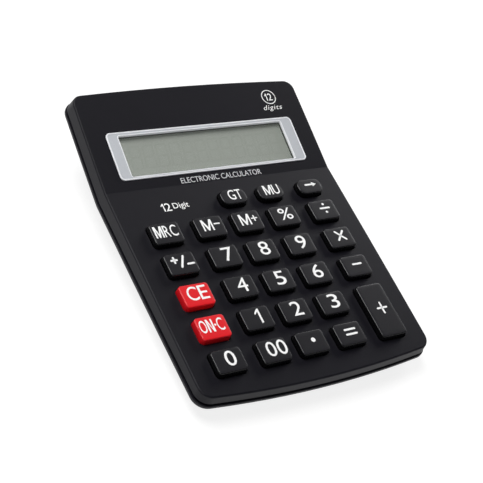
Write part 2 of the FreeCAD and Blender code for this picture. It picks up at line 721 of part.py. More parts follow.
# ------------------------------------------------------------------ keypad
def make_keycap(x, y, width, length, corner):
    """A hollow cap with a retaining flange under the face and a plunger over its dome."""
    cap = rounded_block(x, y, width, length, corner, -flange_bottom, 0)
    crown = rounded_block(x, y, width, length, corner, 0, key_height, key_draft)
    rim = [e for e in crown.Edges if e.BoundBox.ZMin > key_height - tiny]
    crown = crown.makeFillet(key_edge_round, rim)
    flange = rounded_block(x, y, width + 2 * flange_width, length + 2 * flange_width, corner + flange_width,
                           -flange_bottom, -flange_top)
    inner_corner = max(corner - key_shell, key_inner_corner)
    inside = rounded_block(x, y, width - 2 * key_shell, length - 2 * key_shell, inner_corner,
                           -flange_bottom - past, key_height - key_shell)
    half, thin = plunger_size / 2, key_shell / 2
    ceiling = key_height - key_shell / 2
    plunger = [block(x - half, x + half, y - thin, y + thin, -flange_bottom, ceiling),
               block(x - thin, x + thin, y - half, y + half, -flange_bottom, ceiling)]
    return place(cap.fuse([crown, flange]).cut(inside).fuse(plunger).removeSplitter(), keypad_frame)


def mat_area(margin):
    """The keypad's field as (x0, x1, y0, y1), past the outermost flanges by the margin."""
    reach_x, reach_y = key_width / 2 + flange_width, key_length / 2 + flange_width
    back = small_row_y + small_key_length / 2 + flange_width
    return (column_x[0] - reach_x - margin, column_x[-1] + reach_x + margin,
            row_y[-1] - reach_y - margin, back + min(margin, mat_margin) / 2)


def through_holes(radii):
    """Round holes through the mat or the board at each boss that passes it."""
    holes = [rod(x, y, radii[0], -far, 0) for x, y in board_screws]
    return holes + [rod(x, y, radii[1], -far, 0) for x, y in middle_screws]


def make_key_mat():
    """One silicone sheet with a hollow dome under each key."""
    x0, x1, y0, y1 = mat_area(mat_margin)
    sheet = block(x0, x1, y0, y1, -board_top, -mat_top)
    dome_top = -mat_top + dome_height
    domes, hollows = [], []
    for x, y, *_ in keys.values():
        domes.append(revolved([(0, -board_top), (dome_base_radius, -board_top), (dome_base_radius, -mat_top),
                               (dome_top_radius, dome_top), (0, dome_top)], x, y))
        under = -mat_top + key_travel - dome_skin
        inner = dome_base_radius - dome_skin
        hollows.append(revolved([(0, -board_top - past), (inner, -board_top - past), (inner, -mat_top),
                                 (dome_top_radius - dome_skin / 2, under), (0, under)], x, y))
    radii = (board_boss_radius + board_hole_clearance, middle_boss_radius + board_hole_clearance)
    return place(sheet.fuse(domes).cut(hollows).cut(through_holes(radii)), keypad_frame)


def make_main_board():
    x0, x1, y0, _ = mat_area(board_margin)
    front_edge = row_y[-1] - key_length / 2 - flange_width - mat_margin / 2
    board = block(x0, x1, front_edge, -board_crease_gap, -board_bottom, -board_top)
    radii = (board_screw_radius + shank_clearance, middle_boss_radius + board_hole_clearance)
    return place(board.cut(through_holes(radii)), keypad_frame)


def board_piece_places():
    """The middles of the chip and of the small parts, on the board's underside."""
    chip = (column_x[2], row_y[2])
    caps = [(column_x[1], row_y[3]), (column_x[3], row_y[3])]
    return chip, caps


def make_chip():
    """The epoxy blob over the bonded chip."""
    (x, y), _ = board_piece_places()
    low = -board_bottom - chip_height
    blob = rod(x, y, chip_radius, low, -board_bottom)
    rim = [e for e in blob.Edges if e.Closed and e.BoundBox.ZMax < low + tiny]
    return place(blob.makeFillet(chip_edge_round, rim), keypad_frame)


def make_capacitor():
    """A small electrolytic capacitor lying along x under the board."""
    _, places = board_piece_places()
    x, y = places[0]
    start = Vector(x - capacitor_length / 2, y, -board_bottom - capacitor_gap - capacitor_radius)
    can = Part.makeCylinder(capacitor_radius, capacitor_length, start, Vector(1, 0, 0))
    return place(can.makeFillet(capacitor_edge_round, [e for e in can.Edges if e.Closed]), keypad_frame)


def make_resistors():
    """Three small chip resistors in a row under the board."""
    _, places = board_piece_places()
    x, y = places[1]
    half_length, half_width = resistor_length / 2, resistor_width / 2
    low = -board_bottom - resistor_height
    made = [block(middle - half_length, middle + half_length, y - half_width, y + half_width,
                  low, -board_bottom) for middle in (x - resistor_pitch, x, x + resistor_pitch)]
    return place(Part.makeCompound(made), keypad_frame)


def make_case_screws():
    return Part.makeCompound([screw(x, y, seat, seat + case_screw_length, case_screw_radius,
                                    case_head_radius, case_head_height) for x, y, seat, _ in case_screws()])


def make_board_screws():
    sizes = (board_screw_radius, board_head_radius, board_head_height)
    made = [screw(x, y, -board_bottom, -board_bottom + board_screw_length, *sizes) for x, y in board_screws]
    return Part.makeCompound([place(one, keypad_frame) for one in made])


def make_holder_screws():
    seat = -ear_top() - ear_thickness
    sizes = (board_screw_radius, board_head_radius, board_head_height)
    made = [screw(x, view_y, seat, seat + board_screw_length, *sizes) for x in ear_screw_x()]
    return Part.makeCompound([place(one, display_frame) for one in made])


# ------------------------------------------------------------------ the whole calculator
pieces = {
    "upper_case": make_upper_case(),
    "lower_case": make_lower_case(),
    "battery_cover": make_battery_cover(),
    "rubber_feet": make_feet(),
    "display_frame": make_display_frame(),
    "display_window": make_display_window(),
    "front_polariser": thin_sheet(film_top, film_thickness, window_border),
    "lcd_glass": make_lcd_glass(),
    "rear_reflector": thin_sheet(glass_bottom, reflector_thickness, window_border),
    "lcd_holder": make_lcd_holder(),
    "lcd_ribbon": make_lcd_ribbon(),
    "key_mat": make_key_mat(),
    "main_board": make_main_board(),
    "chip_blob": make_chip(),
    "capacitor": make_capacitor(),
    "resistors": make_resistors(),
    "battery_cell": make_cell(),
    "positive_contact": make_positive_contact(),
    "negative_contact": make_negative_contact(),
    "red_lead": make_lead(1),
    "black_lead": make_lead(-1),
    "case_screws": make_case_screws(),
    "board_screws": make_board_screws(),
    "holder_screws": make_holder_screws(),
}
for name, sizes in keys.items():
    pieces["key_" + name] = make_keycap(*sizes)

outside = Part.makeCompound([pieces["upper_case"], pieces["lower_case"]]).optimalBoundingBox(False)
to_origin = Vector(-outside.Center.x, -outside.Center.y, 0)
os.makedirs("parts", exist_ok=True)
for name, shape in pieces.items():
    shape.translate(to_origin)
    assert shape.isValid(), name
    shape.exportStep(os.path.join("parts", name + ".step"))
    print(name, len(shape.Solids), round(shape.Volume, 1))
print("moved by", to_origin)
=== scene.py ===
# %% [markdown]
# # A desk calculator
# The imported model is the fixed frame: it gives the place of every moulding, key and screw.
# This notebook dresses it. Where a moulding's shape is already right, a welded copy shades smoothly.
# Where the real thing has finer detail, such as a keycap, a new piece is modelled in the same place.

# %% Load the frame
import bmesh
import bpy
import json
import math
from mathutils import Matrix, Vector

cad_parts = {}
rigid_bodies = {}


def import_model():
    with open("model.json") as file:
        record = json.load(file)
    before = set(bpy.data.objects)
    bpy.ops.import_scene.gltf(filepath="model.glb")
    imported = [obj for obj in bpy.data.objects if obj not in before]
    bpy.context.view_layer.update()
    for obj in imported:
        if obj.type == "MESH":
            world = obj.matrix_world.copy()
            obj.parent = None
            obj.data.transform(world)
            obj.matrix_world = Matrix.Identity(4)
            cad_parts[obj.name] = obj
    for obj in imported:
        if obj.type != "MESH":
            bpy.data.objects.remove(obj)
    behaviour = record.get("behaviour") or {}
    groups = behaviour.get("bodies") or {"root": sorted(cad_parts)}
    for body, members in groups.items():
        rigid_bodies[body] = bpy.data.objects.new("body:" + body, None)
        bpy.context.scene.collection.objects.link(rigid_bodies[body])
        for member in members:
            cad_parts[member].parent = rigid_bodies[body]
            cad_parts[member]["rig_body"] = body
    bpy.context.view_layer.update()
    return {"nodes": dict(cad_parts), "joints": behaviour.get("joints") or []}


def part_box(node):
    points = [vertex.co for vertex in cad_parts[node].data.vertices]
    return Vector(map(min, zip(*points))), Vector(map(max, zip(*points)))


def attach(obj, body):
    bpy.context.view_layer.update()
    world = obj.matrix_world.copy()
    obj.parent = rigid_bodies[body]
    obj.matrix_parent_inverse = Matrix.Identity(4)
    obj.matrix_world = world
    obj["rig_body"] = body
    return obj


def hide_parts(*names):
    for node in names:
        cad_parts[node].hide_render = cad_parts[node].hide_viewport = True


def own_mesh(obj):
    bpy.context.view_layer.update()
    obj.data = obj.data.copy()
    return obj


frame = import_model()
mm = 0.001

# %% [markdown]
# The case is bent: a keypad face, and a display face that rises more steeply from the crease.
# Each face gets a matrix, so that anything on it is drawn flat, with x right and y up the slope.
# The axis of any key's joint points down the keypad's normal, so it gives the keypad's tilt.

# %% Each face's own frame
display_tilt = math.radians(15)
press_axis = Vector(frame["joints"][0]["axis"])
for joint in frame["joints"]:
    if joint["name"] == "key_5_press":
        press_axis = Vector(joint["axis"])
keypad_tilt = math.atan2(press_axis.y, -press_axis.z)
crease = Vector((0, 26.482, 21.582)) * mm


def face_matrix(tilt):
    """The place of a face: its origin in the middle of the crease, z out of the face."""
    return Matrix.Translation(crease) @ Matrix.Rotation(tilt, 4, "X")


keypad, display = face_matrix(keypad_tilt), face_matrix(display_tilt)


def box_on(node, face):
    """A node's lowest and highest corners in a face's frame."""
    to_face = face.inverted()
    points = [to_face @ v.co for v in frame["nodes"][node].data.vertices]
    low = Vector(map(min, *points))
    high = Vector(map(max, *points))
    return low, high


print("keypad tilt", round(math.degrees(keypad_tilt), 2))

# %% [markdown]
# The camera stands to the front left and looks down at the calculator, rolled so that the object leans.
# A long lens keeps the far edge nearly as wide as the near one.

# %% Camera
eye = Vector((-0.28211, -0.26471, 0.35980))
look = Vector((0.5410, 0.5070, -0.6710)).normalized()
image_up = Vector((0.1322, 0.7367, 0.6632))
image_up = (image_up - look * image_up.dot(look)).normalized()
image_right = look.cross(image_up)
turned = Matrix((image_right, image_up, -look)).transposed().to_4x4()

camera_data = bpy.data.cameras.new("camera")
camera_data.sensor_width = 36
camera_data.lens = 88.27
camera_data.clip_start = 0.01
camera = bpy.data.objects.new("camera", camera_data)
camera.matrix_world = Matrix.Translation(eye) @ turned
bpy.context.scene.collection.objects.link(camera)
bpy.context.scene.camera = camera
print("camera", tuple(round(x, 3) for x in eye))

# %% [markdown]
# A product studio: pale paper that glows a little, so that shadows stay faint, and two soft boxes.
# The top light gives the colours. The key light is low at the right, and its gloss grows to the right.
# A small lamp at the front left puts a glint on the corners that face it.

# %% Floor and lights
def hex_colour(code, alpha=1.0):
    """An sRGB hex colour as the linear values that Blender's sockets take."""
    channels = [int(code[i:i + 2], 16) / 255 for i in (1, 3, 5)]
    linear = [c / 12.92 if c <= 0.04045 else ((c + 0.055) / 1.055) ** 2.4 for c in channels]
    return (*linear, alpha)


def add(tree, kind, inputs=None, **settings):
    """A node with its settings, and a value or a link for each named input."""
    node = tree.nodes.new(kind)
    for name, value in settings.items():
        setattr(node, name, value)
    for name, value in (inputs or {}).items():
        if isinstance(value, bpy.types.NodeSocket):
            tree.links.new(value, node.inputs[name])
        else:
            node.inputs[name].default_value = value
    return node


def new_material(name):
    """An empty material and its node tree."""
    made = bpy.data.materials.new(name)
    made.use_nodes = True
    made.node_tree.nodes.clear()
    return made, made.node_tree


floor_material, tree = new_material("studio_paper")
paper = add(tree, "ShaderNodeBsdfPrincipled", {
    "Base Color": hex_colour("#8f8f8e"), "Roughness": 0.9,
    "Emission Color": hex_colour("#fbfbfb"), "Emission Strength": 0.84})
add(tree, "ShaderNodeOutputMaterial", {"Surface": paper.outputs["BSDF"]})
floor_mesh = bpy.data.meshes.new("floor")
reach = 4.0
floor_mesh.from_pydata([(-reach, -reach, 0), (reach, -reach, 0), (reach, reach, 0), (-reach, reach, 0)],
                       [], [(0, 1, 2, 3)])
floor_mesh.materials.append(floor_material)
floor = bpy.data.objects.new("floor", floor_mesh)
bpy.context.scene.collection.objects.link(floor)

world = bpy.data.worlds.new("studio")
world.use_nodes = True
world.node_tree.nodes.clear()
upwards = add(world.node_tree, "ShaderNodeSeparateXYZ", {
    "Vector": add(world.node_tree, "ShaderNodeTexCoord").outputs["Generated"]})
fade = add(world.node_tree, "ShaderNodeMapRange", {
    "Value": upwards.outputs["Z"], "From Min": 0.0, "From Max": 0.5, "To Min": 0.7, "To Max": 0.05})
air = add(world.node_tree, "ShaderNodeBackground", {
    "Color": hex_colour("#f2f4f8"), "Strength": fade.outputs["Result"]})
add(world.node_tree, "ShaderNodeOutputWorld", {"Surface": air.outputs["Background"]})
bpy.context.scene.world = world
bpy.context.scene.view_settings.view_transform = "Standard"


def soft_box(name, place, size, power):
    """A square area light that faces the calculator."""
    data = bpy.data.lights.new(name, "AREA")
    data.size = size
    data.energy = power
    light = bpy.data.objects.new(name, data)
    light.location = place
    light.rotation_euler = Vector(place).to_track_quat("Z", "Y").to_euler()
    bpy.context.scene.collection.objects.link(light)


soft_box("key_light", (1.04, 0.68, 0.39), 0.7, 7)
soft_box("top_light", (-0.35, 0.60, 1.30), 0.9, 20)
soft_box("corner_light", (-0.52, -0.42, 0.72), 0.14, 0.9)
print("lights ready")

# %% [markdown]
# ## Finishes
# Most of the object is moulded ABS. A spark-eroded mould leaves a fine grain, so the plastic is not glossy:
# a noise at the grain's size drives a small bump, and changes the roughness and the tone a little.
# Texture size is written in millimetres; an Object coordinate is in metres, so the scale is 1 over the size.

# %% A builder for moulded and other plain finishes
cloud_size = 35
grain_depth = 0.05 * mm


def per_mm(size):
    """A texture scale with features of a size in millimetres."""
    return 1 / (size * mm)


def finish(name, colour, roughness, grain=0.6, bump=0.15, tone=0.06, spread=0.06, metallic=0.0, **shader):
    """A surface with a fine grain and a slow change of tone over it."""
    made, tree = new_material(name)
    place = add(tree, "ShaderNodeTexCoord").outputs["Object"]
    grains = add(tree, "ShaderNodeTexNoise", {"Vector": place, "Scale": per_mm(grain), "Detail": 2.0})
    clouds = add(tree, "ShaderNodeTexNoise", {"Vector": place, "Scale": per_mm(cloud_size), "Detail": 2.0})
    both = add(tree, "ShaderNodeMix", {"Factor": 0.5, "A": grains.outputs["Fac"], "B": clouds.outputs["Fac"]})
    base = hex_colour(colour)
    darker = tuple(c * (1 - tone) for c in base[:3]) + (1,)
    lighter = tuple(min(1, c * (1 + tone)) for c in base[:3]) + (1,)
    tint = add(tree, "ShaderNodeMix", {"Factor": both.outputs["Result"]}, data_type="RGBA")
    # A Mix node has float, vector and colour sockets of the same names, so the colour ones go by number.
    colour_a, colour_b, colour_out = tint.inputs[6], tint.inputs[7], tint.outputs[2]
    colour_a.default_value = darker
    colour_b.default_value = lighter
    rough = add(tree, "ShaderNodeMapRange", {"Value": grains.outputs["Fac"], "To Min": roughness - spread,
                                             "To Max": roughness + spread})
    relief = add(tree, "ShaderNodeBump", {"Strength": bump, "Distance": grain_depth,
                                          "Height": grains.outputs["Fac"]})
    skin = add(tree, "ShaderNodeBsdfPrincipled", {
        "Base Color": colour_out, "Roughness": rough.outputs["Result"],
        "Normal": relief.outputs["Normal"], "Metallic": metallic})
    for socket, value in shader.items():
        skin.inputs[socket.replace("_", " ").title().replace("Ior", "IOR")].default_value = value
    add(tree, "ShaderNodeOutputMaterial", {"Surface": skin.outputs["BSDF"]})
    return made


# %% [markdown]
# Each finish is named for the real material. The case and the keys are black ABS with a satin grain,
# the two correcting keys are red ABS, and the frame is ABS under silver paint. The keys' walls get painted
# shade and the frame's rims a painted highlight, each as a copy of its material in another tone.

# %% Materials of the outside
# Black with a trace of blue; the grain breaks up the gloss on the large faces.
case_plastic = finish("black_abs_satin", "#111017", 0.46, bump=0.35, tone=0.25, specular_ior_level=0.19)
# Keys are polished by fingers, so they are a little smoother than the case.
key_plastic = finish("black_abs_keycap", "#151419", 0.40, bump=0.25, tone=0.25, specular_ior_level=0.3)
# The keys' sides and rims get a darker copy of the key plastic: painted shade on the walls, with a smoother
# finish that gives the rim a clear glint.
key_side_painted_shade = finish("black_abs_polished", "#050506", 0.26, bump=0.06)
# A saturated pigment; the fine grain keeps the tops from looking like paint.
red_plastic = finish("red_abs_keycap", "#e30f1c", 0.36, grain=0.5, bump=0.10, tone=0.03)
# Paint with metal flakes: a flat band with visible speckle. The smooth rims and bevels round it take a
# lighter copy, a painted highlight where they catch the light.
silver_band = finish("silver_paint_textured", "#c8cbd0", 0.5, grain=0.9, bump=0.3, tone=0.10, metallic=0.3)
silver_paint_painted_highlight = finish("silver_painted_abs", "#f4f5f8", 0.42, grain=0.5, bump=0.10, tone=0.04, metallic=0.1)
# Matt ink: its uneven film softens the edges of each letter's gloss.
white_ink = finish("white_pad_print", "#fbfbfa", 0.55, grain=0.8, bump=0.05, tone=0.02)
pale_ink = finish("pale_grey_pad_print", "#dcdde0", 0.55, grain=0.8, bump=0.05, tone=0.02)
# Rubber is the dullest surface, with a coarse bloom.
rubber = finish("black_rubber", "#17171a", 0.8, grain=0.7, bump=0.3)
# Zinc plating scatters a little, so screw heads shine softly.
screw_steel = finish("zinc_plated_steel", "#b8bcc2", 0.3, grain=0.4, bump=0.06, metallic=1.0)
print("outside finishes ready")

# %% [markdown]
# What the display shows is its polarising film: a matt green-grey, lit through the window.
# The window is clear acrylic. Thin transparency stands for it, so light still reaches the film below.

# %% Materials of the display
# The film's long soft grain gives the display its slightly uneven grey.
display_film = finish("polarising_film", "#a7aca4", 0.5, grain=1.2, bump=0.02, tone=0.02)
# Unlit segments are a touch darker than the film round them.
ghost_film = finish("liquid_crystal_segments", "#a2a79f", 0.5, grain=1.2, bump=0.02, tone=0.02)
# Smooth and almost clear: only a soft reflection shows that it is there.
clear_acrylic = finish("clear_acrylic", "#a3a9a0", 0.06, grain=1.5, bump=0.01, tone=0.02, spread=0.02,
                       alpha=0.12)
# Its edges have the green of thick glass.
lcd_glass = finish("soda_glass", "#9fb0a6", 0.08, grain=2, bump=0.01, tone=0.03, spread=0.02)
# Foil with the fine crinkle of its glue.
reflector = finish("silvered_reflector_film", "#a8ada6", 0.3, grain=0.8, bump=0.1, metallic=0.9)
print("display finishes ready")

# %% [markdown]
# Inside, each material keeps its usual look: grey moulding, brown board, amber film, green cell.

# %% Materials of the inside
# The tray is plain unpainted moulding, coarser than the outside.
grey_plastic = finish("grey_abs", "#55585c", 0.5, grain=0.8)
# Amber film with a slow ripple.
ribbon_film = finish("polyester_film", "#c9b98e", 0.35, grain=1.5, bump=0.03)
# Printed carbon is matt and slightly rough.
carbon_print = finish("printed_carbon", "#202020", 0.6, grain=0.5)
# Translucent rubber: light spreads a little inside it.
silicone = finish("grey_silicone_rubber", "#b4b6b8", 0.6, grain=1.0, bump=0.1, subsurface_weight=0.1)
# Pressed paper and resin: brown, with clouds of lighter resin.
board_phenolic = finish("phenolic_board", "#8a6134", 0.55, grain=1.2, tone=0.1)
# A poured drop: the glossiest black here.
epoxy = finish("black_epoxy", "#101012", 0.18, grain=1.5, bump=0.05)
# A shrunk vinyl sleeve.
capacitor_sleeve = finish("capacitor_sleeve", "#1c2a52", 0.3, grain=0.8)
# Fired body with a dull grain.
ceramic = finish("resistor_ceramic", "#26282b", 0.4, grain=0.4)
# Printed foil under clear varnish.
cell_jacket = finish("cell_jacket", "#2f6b4c", 0.3, grain=1.2, bump=0.03)
# Warm bright plating on the contacts and the cell's nub.
nickel = finish("nickel_plated_steel", "#c6c3bb", 0.28, grain=0.5, bump=0.06, metallic=1.0)
# Soft insulation, red for plus and black for minus.
red_pvc = finish("red_pvc", "#a41d1d", 0.4, grain=0.8)
black_pvc = finish("black_pvc", "#18181a", 0.4, grain=0.8)
print("materials", len(bpy.data.materials))

# %% [markdown]
# ## Mouldings with smooth shading
# The frame's meshes are loose triangles, one patch for each face, so a round edge would look faceted.
# A copy is welded, shaded smooth with sharp edges kept, and its normals are weighted by area,
# so that flat walls stay flat and the rounds flow into them.

# %% Welded copies of the CAD mouldings
sharp_angle = math.radians(28)
crease_near = 0.02 * mm
weld_distance = 0.002 * mm


def new_piece(name, mesh, body, material, replaces=()):
    """A mesh as a piece that rides on a body, with its finish and what it stands for."""
    piece = bpy.data.objects.new(name, mesh)
    bpy.context.scene.collection.objects.link(piece)
    if material:
        mesh.materials.clear()
        mesh.materials.append(material)
    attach(piece, body)
    if replaces:
        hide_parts(*replaces)
    return piece


def shade(mesh, angle=sharp_angle):
    """Smooth shading that keeps edges sharper than the angle."""
    mesh.shade_smooth()
    mesh.set_sharp_from_angle(angle=angle)


def smooth_copy(node, name, material):
    """A welded copy of a CAD node, shaded smoothly, in its place."""
    source = frame["nodes"][node]
    mesh = source.data.copy()
    mesh.name = name
    shape = bmesh.new()
    shape.from_mesh(mesh)
    bmesh.ops.remove_doubles(shape, verts=shape.verts, dist=weld_distance)
    shape.to_mesh(mesh)
    shape.free()
    for layer in list(mesh.uv_layers):
        mesh.uv_layers.remove(layer)
    if mesh.has_custom_normals:
        mesh.attributes.remove(mesh.attributes["custom_normal"])
    shade(mesh)
    for edge in mesh.edges:
        ends = [mesh.vertices[i].co for i in edge.vertices]
        if all(abs(v.y - crease.y) < crease_near and abs(v.z - crease.z) < crease_near
               for v in ends):
            edge.use_edge_sharp = True
    piece = new_piece(name, mesh, source["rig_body"], material, [node])
    weighted = piece.modifiers.new("weighted_normals", "WEIGHTED_NORMAL")
    weighted.keep_sharp = True
    return piece


mouldings = (
    ("upper_case", "upper_shell", case_plastic, "case"),
    ("lower_case", "lower_shell", case_plastic, "case"),
    ("battery_cover", "battery_door", case_plastic, "case"),
    ("rubber_feet", "feet", rubber, "foot_rubber"),
    ("lcd_holder", "display_holder", grey_plastic, "holder_plastic"),
    ("chip_blob", "chip_epoxy", epoxy, "epoxy"),
    ("capacitor", "capacitor_can", capacitor_sleeve, "capacitor_can"),
    ("positive_contact", "positive_plate", nickel, "contact_steel"),
    ("negative_contact", "negative_spring", nickel, "contact_steel"),
    ("red_lead", "red_wire", red_pvc, "lead_red"),
    ("black_lead", "black_wire", black_pvc, "lead_black"),
    ("case_screws", "case_screw_set", screw_steel, "screw_steel"),
    ("board_screws", "board_screw_set", screw_steel, "screw_steel"),
    ("holder_screws", "holder_screw_set", screw_steel, "screw_steel"),
)
for node, name, material, slot in mouldings:
    made = smooth_copy(node, name, material)
    print(name, len(made.data.vertices))

# %% [markdown]
# Flat sheets and boards need no welding: the CAD node stays, with a better material in its slot.

# %% CAD nodes that stay
kept = {
    "display_window": clear_acrylic, "front_polariser": display_film, "lcd_glass": lcd_glass,
    "rear_reflector": reflector, "lcd_ribbon": ribbon_film, "main_board": board_phenolic,
    "resistors": ceramic,
}
for node, material in kept.items():
    mesh = frame["nodes"][node].data
    mesh.materials.clear()
    mesh.materials.append(material)
print("kept", sorted(kept))

# %% [markdown]
# ## Keycaps
# A keycap is a hollow ABS moulding: a crown with drafted walls and a soft rim, and a flange below the
# face that stops it from coming out. The outline is a rectangle with round corners, and the whole cap is
# a stack of such outlines, each a little smaller or larger, joined by quads.

# %% Outlines and stacks
corner_steps = 10
smallest_corner = 0.05


def outline(width, length, corner):
    """Points round a rectangle with round corners, about the origin."""
    corner = max(corner, smallest_corner)
    points = []
    for turn, (sx, sy) in enumerate(((1, 1), (-1, 1), (-1, -1), (1, -1))):
        cx, cy = sx * (width / 2 - corner), sy * (length / 2 - corner)
        for step in range(corner_steps + 1):
            angle = (turn + step / corner_steps) * math.pi / 2
            points.append((cx + corner * math.cos(angle), cy + corner * math.sin(angle)))
    return points


def stack(shape, levels, width, length, corner):
    """Rings at (inset, z) levels, each joined to the next by quads, in mm."""
    rings = []
    for inset, z in levels:
        ring = outline(width - 2 * inset, length - 2 * inset, corner - inset)
        rings.append([shape.verts.new((x, y, z)) for x, y in ring])
    for low, high in zip(rings, rings[1:]):
        for i in range(len(low)):
            j = (i + 1) % len(low)
            shape.faces.new((low[i], low[j], high[j], high[i]))
    return rings


def round_edge(inset, z, radius, steps=5):
    """Levels of a quarter round that turns from a wall at (inset, z) onto a top."""
    turns = [math.pi / 2 * (i + 1) / steps for i in range(steps)]
    return [(inset + radius * (1 - math.cos(a)), z + radius * math.sin(a)) for a in turns]


merge_distance = 1e-4


def finish_mesh(shape, name, place, shift=(0, 0)):
    """The millimetre shape as a mesh in metres, put on a face, with its faces outward."""
    bmesh.ops.remove_doubles(shape, verts=shape.verts, dist=merge_distance)
    bmesh.ops.recalc_face_normals(shape, faces=shape.faces)
    mesh = bpy.data.meshes.new(name)
    shape.to_mesh(mesh)
    shape.free()
    to_place = place @ Matrix.Translation(Vector((*shift, 0)) * mm) @ Matrix.Scale(mm, 4)
    mesh.transform(to_place)
    shade(mesh)
    return mesh


print("points in an outline", len(outline(10, 10, 2)))

# %% The keycap
flange_width, flange_thickness = 0.8, 1.0
key_height, key_draft, rim_radius = 2.7, 0.2, 0.45
cap_wall, top_inset = 1.2, 2.0
plunger_reach, plunger_thin, plunger_root = 1.5, 0.6, 0.2
shaded_side_normal_limit = 0.9
standard_corner, small_corner = 1.7, 3.3
small_keys = ("key_grand_total", "key_mark_up", "key_backspace")
red_keys = ("key_clear_entry", "key_on_clear")
key_names = sorted(n for n in frame["nodes"] if n.startswith("key_") and n != "key_mat")


def key_size(node):
    """(x, y, width, length, corner, flange bottom) of a key, in mm on the keypad face."""
    low, high = box_on(node, keypad)
    middle = (low + high) / 2 / mm
    size = (high - low) / mm
    corner = small_corner if node in small_keys else standard_corner
    return middle.x, middle.y, size.x - 2 * flange_width, size.y - 2 * flange_width, corner, low.z / mm


def keycap(node):
    """A hollow cap with its flange, drafted walls, rounded rim and a cross-shaped plunger."""
    x, y, width, length, corner, bottom = key_size(node)
    flange_top = bottom + flange_thickness
    under_top = key_height - cap_wall
    rim_start = key_height - rim_radius
    levels = [(cap_wall, bottom), (-flange_width, bottom), (-flange_width, flange_top),
              (0, flange_top), (0, 0)]
    levels += [(key_draft, rim_start)] + round_edge(key_draft, rim_start, rim_radius)
    levels += [(top_inset, key_height)]
    shape = bmesh.new()
    rings = stack(shape, levels, width, length, corner)
    shape.faces.new(rings[-1])
    inner = stack(shape, [(cap_wall, under_top), (cap_wall, bottom)], width, length, corner)
    shape.faces.new(inner[0])
    top = under_top + plunger_root
    for across, along in ((plunger_reach, plunger_thin), (plunger_thin, plunger_reach)):
        post = bmesh.ops.create_cube(shape, size=1)["verts"]
        for v in post:
            v.co = Vector((v.co.x * 2 * across, v.co.y * 2 * along,
                           (v.co.z + 0.5) * (top - bottom) + bottom))
    return finish_mesh(shape, node.replace("key_", "cap_"), keypad, (x, y))


def polish_and_shade_sides(mesh):
    """Gives a cap's walls and rim the second material, a darker copy with painted shade, and leaves its top
    with the first.
    """
    mesh.materials.append(key_side_painted_shade)
    out_of_face = keypad.col[2].xyz
    for polygon in mesh.polygons:
        if polygon.normal.dot(out_of_face) < shaded_side_normal_limit:
            polygon.material_index = 1


for node in key_names:
    red = node in red_keys
    cap = new_piece(node.replace("key_", "cap_"), keycap(node), node, red_plastic if red else key_plastic,
                    [node])
    # The black caps' walls and rims take the darker side material: painted shade.
    if not red:
        polish_and_shade_sides(cap.data)
print("keycaps", len(key_names))

# %% [markdown]
# ## Legends
# Pad-printed ink is a thin raised film. Blender's own letters give the characters, extruded a few
# hundredths of a millimetre. The signs are drawn from bars and dots, and M, N and 1 as outlines.
# Each legend is fitted to its real width and height, and rides on its key.

# %% Letters and signs
ink_thickness = 0.03
weight_gain = 0.004
bar_end_steps, dot_sides = 6, 24


def evaluated_mesh(holder):
    """The plain mesh that an object gives with its modifiers run. The object is then removed."""
    bpy.context.scene.collection.objects.link(holder)
    bpy.context.view_layer.update()
    mesh = bpy.data.meshes.new_from_object(holder.evaluated_get(bpy.context.evaluated_depsgraph_get()))
    bpy.data.objects.remove(holder)
    return mesh


def text_shape(text, width, height, heavier=weight_gain, slant=0.0, spacing=1.0):
    """Text as a bmesh in mm, centred, scaled to a width and a height."""
    curve = bpy.data.curves.new("text", "FONT")
    curve.body = text
    curve.extrude = 0.02
    curve.offset = heavier
    curve.shear = slant
    curve.space_character = spacing
    curve.resolution_u = 4
    mesh = evaluated_mesh(bpy.data.objects.new("text", curve))
    low = Vector(map(min, *[v.co for v in mesh.vertices]))
    high = Vector(map(max, *[v.co for v in mesh.vertices]))
    middle, size = (low + high) / 2, high - low
    shape = bmesh.new()
    shape.from_mesh(mesh)
    bpy.data.meshes.remove(mesh)
    for v in shape.verts:
        v.co = Vector(((v.co.x - middle.x) * width / size.x, (v.co.y - middle.y) * height / size.y,
                       (v.co.z - low.z) / size.z * ink_thickness))
    return shape


def prism(shape, points):
    """A flat polygon drawn as ink."""
    low = [shape.verts.new((x, y, 0)) for x, y in points]
    high = [shape.verts.new((x, y, ink_thickness)) for x, y in points]
    shape.faces.new(low[::-1])
    shape.faces.new(high)
    for i in range(len(points)):
        j = (i + 1) % len(points)
        shape.faces.new((low[i], low[j], high[j], high[i]))


def bar(shape, start, end, thick):
    """A straight stroke with round ends."""
    start, end = Vector(start), Vector(end)
    heading = math.atan2(end.y - start.y, end.x - start.x)
    points = []
    for middle, first in ((end, heading - math.pi / 2), (start, heading + math.pi / 2)):
        for i in range(bar_end_steps + 1):
            a = first + math.pi * i / bar_end_steps
            points.append((middle.x + thick / 2 * math.cos(a), middle.y + thick / 2 * math.sin(a)))
    prism(shape, points)


def dot(shape, x, y, radius):
    """A round spot of ink."""
    turns = [2 * math.pi * i / dot_sides for i in range(dot_sides)]
    prism(shape, [(x + radius * math.cos(a), y + radius * math.sin(a)) for a in turns])


stroke, stroke_height, sign_rise = 0.95, 7.2, 0.2
usual_width = 0.72
letter_widths = {"M": 0.92, "R": 0.64, "C": 0.74, "G": 0.80, "T": 0.64, "U": 0.70, "E": 0.60, "O": 0.78,
                 "N": 0.74, "1": 0.36, "·": 0.20, "-": 0.58, "+": 0.58, "0": 0.68, "%": 1.1}


